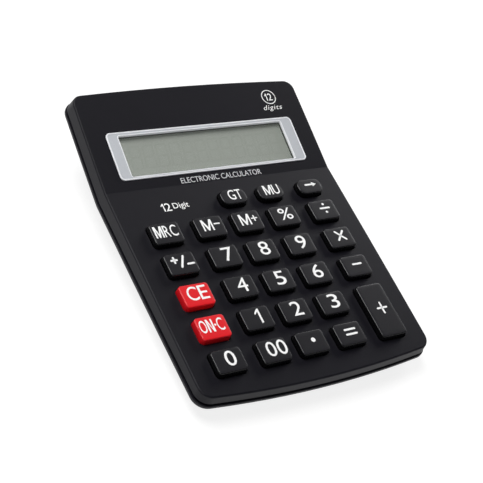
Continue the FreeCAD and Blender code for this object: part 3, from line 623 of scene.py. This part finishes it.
def letter(shape, character, x, width, height):
    """One character of a legend, centred at x. M, N and 1 are single outlines with an even stroke."""
    w, h, t = width, height, stroke * height / stroke_height
    drawn = {
        "M": [(0, 0), (0, h), (1.35 * t, h), (w / 2, 0.3 * h), (w - 1.35 * t, h), (w, h), (w, 0), (w - t, 0),
              (w - t, 0.7 * h), (w / 2 + 0.42 * t, 0), (w / 2 - 0.42 * t, 0), (t, 0.7 * h), (t, 0)],
        "N": [(0, 0), (0, h), (1.1 * t, h), (w - t, 1.7 * t), (w - t, h), (w, h), (w, 0), (w - 1.1 * t, 0),
              (t, h - 1.7 * t), (t, 0)],
        "1": [(w, h), (w - 0.8 * t, h), (0, 0.73 * h), (0, 0.60 * h), (w - t, 0.80 * h), (w - t, 0), (w, 0)],
    }
    if character in drawn:
        prism(shape, [(x - w / 2 + px, py - h / 2) for px, py in drawn[character]])
    elif character in "-+":
        reach = w / 2 - t / 2
        bar(shape, (x - reach, sign_rise), (x + reach, sign_rise), 0.9 * t)
        if character == "+":
            bar(shape, (x, sign_rise - reach), (x, sign_rise + reach), 0.9 * t)
    elif character == "·":
        dot(shape, x, 0, 0.6 * t)
    else:
        ready = text_shape(character, width, height, 0.0 if character == "4" else weight_gain)
        mesh = bpy.data.meshes.new("letter")
        ready.to_mesh(mesh)
        ready.free()
        mesh.transform(Matrix.Translation((x, 0, 0)))
        shape.from_mesh(mesh)
        bpy.data.meshes.remove(mesh)


def word(text, width, height, gap=0.10):
    """A word set letter by letter to a total width and a height, in mm."""
    shape = bmesh.new()
    shares = [letter_widths.get(c, usual_width) for c in text]
    scale = width / (sum(shares) + gap * (len(text) - 1))
    x = -width / 2
    for character, share in zip(text, shares):
        letter(shape, character, x + share * scale / 2, share * scale, height)
        x += (share + gap) * scale
    return shape


signs = {
    "divide": ([((-2.4, 0), (2.4, 0))], [(0, 2.2, 0.62), (0, -2.2, 0.62)]),
    "multiply": ([((-2.1, -2.3), (2.1, 2.3)), ((-2.1, 2.3), (2.1, -2.3))], []),
    "minus": ([((-2.2, 0), (2.2, 0))], []),
    "plus": ([((-2.4, 0), (2.4, 0)), ((0, -2.6), (0, 2.6))], []),
    "equals": ([((-2.6, 1.15), (2.6, 1.15)), ((-2.6, -1.15), (2.6, -1.15))], []),
    "point": ([], [(0, 0, 1.05)]),
    "sign": ([((-4.9, 1.1), (-2.3, 1.1)), ((-3.6, -0.2), (-3.6, 2.4)), ((-1.3, -2.6), (1.1, 2.6)),
              ((1.9, -1.5), (4.7, -1.5))], []),
    "backspace": ([((-2.9, 0), (1.2, 0))], []),
}
words = {
    "0": ("0", 4.9, 6.9), "1": ("1", 2.5, 6.9), "double_zero": ("00", 9.8, 6.9),
    "grand_total": ("GT", 6.9, 5.3), "mark_up": ("MU", 8.2, 5.3), "memory_recall": ("MRC", 10.8, 5.8),
    "memory_minus": ("M-", 9.0, 5.8), "memory_plus": ("M+", 9.2, 5.8), "percent": ("%", 6.9, 6.2),
    "clear_entry": ("CE", 9.6, 6.7), "on_clear": ("ON·C", 11.0, 6.0),
}
words.update({digit: (digit, 5.1, 6.9) for digit in "23456789"})


def sign_shape(key):
    """A sign drawn from its bars and dots."""
    shape = bmesh.new()
    bars, dots = signs[key]
    for start, end in bars:
        bar(shape, start, end, stroke)
    for x, y, radius in dots:
        dot(shape, x, y, radius)
    if key == "backspace":
        prism(shape, [(3.1, 0), (0.7, 1.25), (1.1, 0), (0.7, -1.25)])
    return shape


legend_shift = 0.8
legend_nudge = {"on_clear": -1.2, "clear_entry": -0.4, "memory_recall": -1.0, "double_zero": 0.8,
                "7": 0.7}
for node in key_names:
    key = node.replace("key_", "")
    if key in signs:
        shape = sign_shape(key)
    else:
        shape = word(*words[key])
    x, y, *_ = key_size(node)
    mesh = finish_mesh(shape, "ink_" + key, keypad @ Matrix.Translation((0, 0, key_height * mm)),
                       (x + legend_shift + legend_nudge.get(key, 0), y + legend_shift))
    new_piece("ink_" + key, mesh, node, white_ink)
print("legends", len(key_names))

# %% [markdown]
# Two generic lines name what the object is, and a ringed number gives its digits. They are printed on
# the case, so they ride with it.

# %% Printing on the case
def print_on(name, face, x, y, shape, material=white_ink):
    """Ink on one of the case's faces, centred at a place in mm."""
    new_piece(name, finish_mesh(shape, name, face, (x, y)), "case", material)


printed_ring = bmesh.new()
ring_outer, ring_inner, ring_steps = 3.9, 3.48, 64
for i in range(ring_steps):
    a, b = 2 * math.pi * i / ring_steps, 2 * math.pi * (i + 1) / ring_steps
    corners = ((ring_outer, a), (ring_outer, b), (ring_inner, b), (ring_inner, a))
    prism(printed_ring, [(r * math.cos(t), r * math.sin(t)) for r, t in corners])
print_on("print_ring", display, 42.0, 40.3, printed_ring)
print_on("print_twelve", display, 41.9, 40.3, word("12", 3.9, 3.9, 0.16))
print_on("print_digits", display, 42.0, 34.2, text_shape("digits", 10.6, 3.4, 0.0, 0.3, 1.15))
print_on("print_title", display, 0.0, 1.95, text_shape("ELECTRONIC CALCULATOR", 42.4, 2.7, 0.0), pale_ink)
print_on("print_count", keypad, -34.2, -10.7, word("12", 4.6, 4.2))
print_on("print_digit", keypad, -26.9, -10.9, text_shape("Digit", 7.8, 3.9))
print("printed lines", 5)

# %% [markdown]
# ## Display frame
# The silver frame is a thin painted moulding. It has wide bands left and right, narrow ones above and
# below, a soft outer rim, and a bevel that falls to the window.

# %% The silver frame
rim_width, rim_round, rim_fall = 0.55, 0.25, 0.15
lip_width, lip_fall, lip_flat, bevel = 0.65, 0.12, 0.4, 0.25
band_depth, window_border = 0.14, 1.1
outer_corner, opening_corner = 2.2, 0.5


def silver_frame():
    """A ring between the outer outline and the window, with a soft rim and a bevelled opening."""
    low, high = box_on("display_frame", display)
    glass_low, glass_high = box_on("display_window", display)
    outer_middle, outer_size = (low + high) / 2 / mm, (high - low) / mm
    view_middle, view_size = (glass_low + glass_high) / 2 / mm, (glass_high - glass_low) / mm
    bottom, top = low.z / mm, high.z / mm
    width, length = view_size.x - 2 * window_border, view_size.y - 2 * window_border
    shape = bmesh.new()
    shift = view_middle - outer_middle
    band_top = top - band_depth
    outer_levels = [(0, bottom), (0, top - rim_round)] + round_edge(0, top - rim_round, rim_round)
    outer_levels += [(rim_width, top), (rim_width + rim_fall, band_top)]
    opening = [(-lip_width - lip_fall, band_top), (-lip_width, top), (-lip_flat, top),
               (-bevel, top - lip_fall), (0, bottom + bevel), (0, bottom)]
    rings = []
    for inset, z in outer_levels:
        ring = outline(outer_size.x - 2 * inset, outer_size.y - 2 * inset, outer_corner - inset)
        rings.append([shape.verts.new((x, y, z)) for x, y in ring])
    for inset, z in opening:
        ring = outline(width - 2 * inset, length - 2 * inset, opening_corner - inset)
        rings.append([shape.verts.new((x + shift.x, y + shift.y, z)) for x, y in ring])
    for step, (low_ring, high_ring) in enumerate(zip(rings, rings[1:] + rings[:1])):
        for i in range(len(low_ring)):
            j = (i + 1) % len(low_ring)
            face = shape.faces.new((low_ring[i], low_ring[j], high_ring[j], high_ring[i]))
            # The band takes the textured silver, and every other face the lighter silver with its painted
            # highlight.
            face.material_index = 1 if step == len(outer_levels) - 1 else 0
    return finish_mesh(shape, "silver_frame", display, outer_middle.xy)


frame_mesh = silver_frame()
frame_mesh.materials.append(silver_paint_painted_highlight)
frame_mesh.materials.append(silver_band)
new_piece("silver_frame", frame_mesh, "case", None, ["display_frame"])

# %% [markdown]
# ## Repeated parts with Geometry Nodes
# Unlit segments barely show on a liquid crystal display. One digit is seven bars; Geometry Nodes puts
# twelve of them in a row. The same tree, with another shape and pitch, prints the carbon contacts.

# %% A row of copies
def open_tree(name, **sizes):
    """A geometry node tree with its named inputs, and the node that gives them."""
    tree = bpy.data.node_groups.new(name, "GeometryNodeTree")
    for label, kind in {"Geometry": "Geometry", **sizes, "Finish": "Material"}.items():
        label = label.replace("_", " ")
        tree.interface.new_socket(name=label, in_out="INPUT", socket_type="NodeSocket" + kind)
    tree.interface.new_socket(name="Geometry", in_out="OUTPUT", socket_type="NodeSocketGeometry")
    return tree, tree.nodes.new("NodeGroupInput")


def close_tree(tree, given, geometry):
    """The end of a tree: copies made real, and their material."""
    solid = add(tree, "GeometryNodeRealizeInstances", {"Geometry": geometry})
    coated = add(tree, "GeometryNodeSetMaterial", {
        "Geometry": solid.outputs["Geometry"], "Material": given.outputs["Finish"]})
    add(tree, "NodeGroupOutput", {"Geometry": coated.outputs["Geometry"]})
    return tree


def row_tree():
    """A node tree that repeats an object along x, with its count and pitch as inputs."""
    tree, given = open_tree("row_of_copies", Part="Object", Count="Int", Pitch="Float")
    step = add(tree, "ShaderNodeCombineXYZ", {"X": given.outputs["Pitch"]})
    points = add(tree, "GeometryNodeMeshLine", {
        "Count": given.outputs["Count"], "Offset": step.outputs["Vector"]})
    part = add(tree, "GeometryNodeObjectInfo", {"Object": given.outputs["Part"]})
    copies = add(tree, "GeometryNodeInstanceOnPoints", {
        "Points": points.outputs["Mesh"], "Instance": part.outputs["Geometry"]})
    return close_tree(tree, given, copies.outputs["Instances"])


def set_inputs(modifier, values):
    """Gives a Geometry Nodes modifier its inputs, by each socket's identifier."""
    for item in modifier.node_group.interface.items_tree:
        if item.item_type == "SOCKET" and item.in_out == "INPUT" and item.name in values:
            modifier[item.identifier] = values[item.name]


def grown(name, tree, values, mesh=None):
    """The plain mesh that a node tree gives, from a mesh if the tree takes one."""
    holder = bpy.data.objects.new(name, mesh or bpy.data.meshes.new(name))
    modifier = holder.modifiers.new("grow", "NODES")
    modifier.node_group = tree
    set_inputs(modifier, values)
    return evaluated_mesh(holder)


def helper_object(name, shape):
    """A shape in mm that a node tree can copy."""
    mesh = bpy.data.meshes.new(name)
    shape.to_mesh(mesh)
    shape.free()
    made = bpy.data.objects.new(name, mesh)
    bpy.context.scene.collection.objects.link(made)
    return made


rows = row_tree()


def lay_row(name, part, count, pitch, finish_material, face, start):
    """A row of copies of a part on a face, from a start place in mm."""
    mesh = grown(name, rows, {"Part": part, "Count": count, "Pitch": pitch, "Finish": finish_material})
    bpy.data.objects.remove(part)
    mesh.transform(face @ Matrix.Translation(Vector(start) * mm) @ Matrix.Scale(mm, 4))
    new_piece(name, mesh, "case", None)


digit_height, digit_width, segment, segment_gap = 11.0, 4.9, 0.75, 0.6
segment_trim, point_gap, point_radius, digit_slant = 0.5, 1.0, 0.45, 0.1
shape = bmesh.new()
for y in (-1, 0, 1):
    middle = y * digit_height / 2
    reach = digit_width / 2 - segment_trim
    bar(shape, (-reach, middle), (reach, middle), segment)
for x in (-1, 1):
    for y in (-1, 1):
        side = x * digit_width / 2
        bar(shape, (side, y * segment_gap), (side, y * (digit_height / 2 - segment_gap)), segment)
dot(shape, digit_width / 2 + point_gap, -digit_height / 2, point_radius)
for v in shape.verts:
    v.co.x += v.co.y * digit_slant
    v.co.z *= 0.5
film_low, film_high = box_on("front_polariser", display)
film_middle = (film_low + film_high) / 2 / mm
digit_pitch = 6.7
digit_count = 12
lay_row("ghost_digits", helper_object("digit", shape), digit_count, digit_pitch, ghost_film, display,
        (film_middle.x - digit_pitch * (digit_count - 1) / 2, film_middle.y, film_high.z / mm))
print("display digits", digit_count)

# %% [markdown]
# Each key closes a contact on the board: two carbon combs whose fingers lie between each other, which
# look like one row of parallel lines. The row tree draws these under each key, in the hollow of its dome.

# %% Carbon contacts
comb_fingers, comb_pitch, comb_length, comb_line = 8, 0.62, 4.4, 0.3
board_low, board_high = box_on("main_board", keypad)
comb_top = board_high.z / mm


def carbon_contact(name, x, y):
    """The row of carbon fingers on the board under one key."""
    finger = bmesh.new()
    bar(finger, (0, -comb_length / 2), (0, comb_length / 2), comb_line)
    start = (x - comb_pitch * (comb_fingers - 1) / 2, y, comb_top)
    lay_row(name, helper_object("finger", finger), comb_fingers, comb_pitch, carbon_print, keypad, start)


for node in key_names:
    x, y, *_ = key_size(node)
    carbon_contact("contact_" + node.replace("key_", ""), x, y)
print("contacts", len(key_names), "of", comb_fingers, "fingers")

# %% [markdown]
# ## Key mat
# Under the keys lies one silicone sheet with a hollow dome for each key. A dome buckles when its key
# goes down; here each one is its own piece, which rides on the case.

# %% Domes
dome_base, dome_crown, dome_skin, dome_rise = 4.2, 2.6, 0.6, 2.3
mat_low, mat_high = box_on("key_mat", keypad)
sheet_top = mat_high.z / mm - dome_rise
sheet_bottom = mat_low.z / mm
crown_thickness = 0.9


def spun(profile, steps=32):
    """A closed (radius, z) profile turned about z."""
    shape = bmesh.new()
    rings = []
    for radius, z in profile:
        if radius < 1e-6:
            rings.append([shape.verts.new((0, 0, z))])
        else:
            rings.append([shape.verts.new((radius * math.cos(2 * math.pi * i / steps),
                                           radius * math.sin(2 * math.pi * i / steps), z))
                          for i in range(steps)])
    for low, high in zip(rings, rings[1:]):
        for i in range(steps):
            j = (i + 1) % steps
            if len(low) == 1:
                shape.faces.new((low[0], high[j], high[i]))
            elif len(high) == 1:
                shape.faces.new((low[i], low[j], high[0]))
            else:
                shape.faces.new((low[i], low[j], high[j], high[i]))
    return shape


under_crown = dome_rise - crown_thickness - dome_skin
dome_profile = [(0, under_crown), (dome_crown - 0.5, under_crown), (dome_base - dome_skin, 0), (dome_base, 0),
                (dome_base - 0.2, 0.5), (dome_crown + 0.15, dome_rise - 0.25), (dome_crown - 0.1, dome_rise),
                (dome_crown - 0.7, dome_rise), (0, dome_rise)]
for node in key_names:
    x, y, *_ = key_size(node)
    key = node.replace("key_", "")
    dome_place = keypad @ Matrix.Translation((0, 0, sheet_top * mm))
    mesh = finish_mesh(spun(dome_profile), "dome_" + key, dome_place, (x, y))
    dome = new_piece("dome_" + key, mesh, "case", silicone, ["key_mat"])
    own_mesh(dome)
print("domes", len(key_names), "sheet top", round(sheet_top, 2))

# %% [markdown]
# The sheet itself is a plate with a round opening under each dome. Geometry Nodes puts a cutter at each
# key's place and takes them all away at once.

# %% The sheet
hole_sides, cutter_depth = 32, 10.0


def pierced_tree():
    """A plate with round holes at the points of the mesh that it is given."""
    tree, given = open_tree("pierced_sheet", Size="Vector", Middle="Vector", Hole_Radius="Float")
    plate = add(tree, "GeometryNodeMeshCube", {"Size": given.outputs["Size"]})
    placed = add(tree, "GeometryNodeTransform", {
        "Geometry": plate.outputs["Mesh"], "Translation": given.outputs["Middle"]})
    cutter = add(tree, "GeometryNodeMeshCylinder", {
        "Vertices": hole_sides, "Radius": given.outputs["Hole Radius"], "Depth": cutter_depth})
    cutters = add(tree, "GeometryNodeInstanceOnPoints", {
        "Points": given.outputs["Geometry"], "Instance": cutter.outputs["Mesh"]})
    loose = add(tree, "GeometryNodeRealizeInstances", {"Geometry": cutters.outputs["Instances"]})
    holed = add(tree, "GeometryNodeMeshBoolean", {
        "Mesh 1": placed.outputs["Geometry"], "Mesh 2": loose.outputs["Geometry"]}, operation="DIFFERENCE")
    return close_tree(tree, given, holed.outputs["Mesh"])


centres = bpy.data.meshes.new("dome_centres")
middle_z = (sheet_top + sheet_bottom) / 2
centres.from_pydata([(*key_size(n)[:2], middle_z) for n in key_names], [], [])
sheet_size = (mat_high - mat_low) / mm
sheet_middle = (mat_high + mat_low) / 2 / mm
sheet = grown("sheet", pierced_tree(), {
    "Size": (sheet_size.x, sheet_size.y, sheet_top - sheet_bottom),
    "Middle": (sheet_middle.x, sheet_middle.y, middle_z),
    "Hole Radius": dome_base - dome_skin, "Finish": silicone}, centres)
sheet.transform(keypad @ Matrix.Scale(mm, 4))
shade(sheet)
new_piece("mat_sheet", sheet, "case", None, ["key_mat"])
print("sheet triangles", sum(len(p.vertices) - 2 for p in sheet.polygons))

# %% [markdown]
# ## The cell
# An AA cell is a printed can with a bare nub and a bare base. It is spun about its own axis: a jacket
# that turns in over each end, and the metal that shows inside it.

# %% Battery cell
def cell_place():
    """The matrix that turns z along the cell and puts its flat end at the origin, and the cell's length."""
    low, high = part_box("battery_cell")
    start = Vector((low.x, (low.y + high.y) / 2, (low.z + high.z) / 2))
    return Matrix.Translation(start) @ Matrix.Rotation(math.pi / 2, 4, "Y"), (high.x - low.x) / mm


place_cell, cell_length = cell_place()
cell_radius, nub_radius, nub_length = 7.25, 2.7, 1.0
shoulder = cell_length - nub_length
jacket = [(0, 0.25), (5.6, 0.25), (6.0, 0.0), (6.8, 0.0), (cell_radius, 0.5), (cell_radius, shoulder - 0.5),
          (6.8, shoulder), (5.9, shoulder), (5.6, shoulder - 0.2), (0, shoulder - 0.2)]
nub = [(0, shoulder - 0.25), (nub_radius + 1.2, shoulder - 0.25), (nub_radius + 0.6, shoulder - 0.05),
       (nub_radius, shoulder + 0.05), (nub_radius, cell_length - 0.3), (nub_radius - 0.3, cell_length),
       (0, cell_length)]
new_piece("cell_can", finish_mesh(spun(jacket, 48), "cell_can", place_cell), "case", cell_jacket,
          ["battery_cell"])
new_piece("cell_nub", finish_mesh(spun(nub, 32), "cell_nub", place_cell), "case", nickel)
print("cell length", round(cell_length, 2))
